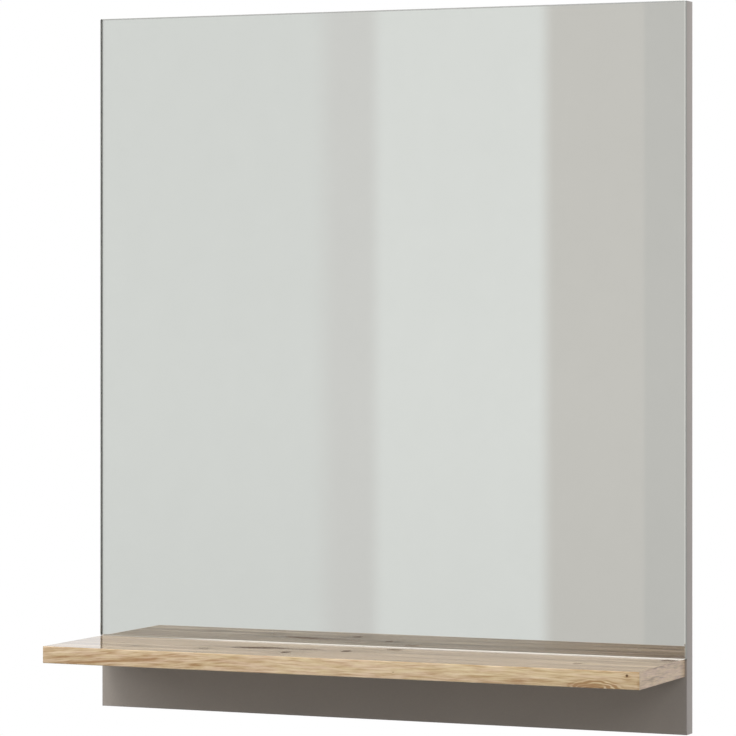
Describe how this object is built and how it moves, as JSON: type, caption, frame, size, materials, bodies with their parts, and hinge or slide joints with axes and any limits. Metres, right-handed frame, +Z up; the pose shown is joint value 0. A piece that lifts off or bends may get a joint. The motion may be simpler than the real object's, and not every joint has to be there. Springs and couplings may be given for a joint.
{
  "type": "wall mirror with shelf",
  "caption": "Frameless wall mirror with ground edges, bonded to a taupe back board, with an oak-look shelf below it, hung from keyhole plates.",
  "frame": {"origin": "centre of the back board's rear face, which lies flat on the wall", "axes": "+X to the right as seen from the front, +Y into the wall, +Z up; the mirror faces -Y"},
  "size_m": [0.6, 0.14, 0.669],
  "materials": {
    "board_taupe": "matt taupe melamine on chipboard",
    "board_edge_band": "satin taupe plastic band",
    "mirror_glass": "clear float glass with ground and polished edges",
    "mirror_silver": "silver coating under grey protective paint",
    "mirror_adhesive": "matt mirror adhesive",
    "shelf_oak": "satin oak-look melamine on chipboard",
    "shelf_edge_band": "satin oak-look edge band",
    "dowel_beech": "bare fluted beech",
    "screw_zinc": "bright zinc plate",
    "hanger_steel": "galvanised sheet"
  },
  "bodies": {
    "root": {"back_board": "board_taupe", "board_edge_left": "board_edge_band", "board_edge_right": "board_edge_band", "board_edge_top": "board_edge_band", "board_edge_bottom": "board_edge_band", "mirror_glass": "mirror_glass", "mirror_coating": "mirror_silver", "mirror_adhesive_1": "mirror_adhesive", "mirror_adhesive_2": "mirror_adhesive", "mirror_adhesive_3": "mirror_adhesive", "mirror_adhesive_4": "mirror_adhesive", "mirror_adhesive_5": "mirror_adhesive", "shelf_board": "shelf_oak", "shelf_edge_front": "shelf_edge_band", "shelf_edge_left": "shelf_edge_band", "shelf_edge_right": "shelf_edge_band", "shelf_dowel_1": "dowel_beech", "shelf_dowel_2": "dowel_beech", "shelf_dowel_3": "dowel_beech", "shelf_dowel_4": "dowel_beech", "shelf_screw_1": "screw_zinc", "shelf_screw_2": "screw_zinc", "shelf_screw_3": "screw_zinc", "hanger_plate_left": "hanger_steel", "hanger_plate_right": "hanger_steel", "hanger_screw_left_1": "screw_zinc", "hanger_screw_left_2": "screw_zinc", "hanger_screw_right_1": "screw_zinc", "hanger_screw_right_2": "screw_zinc"}
  },
  "joints": []
}
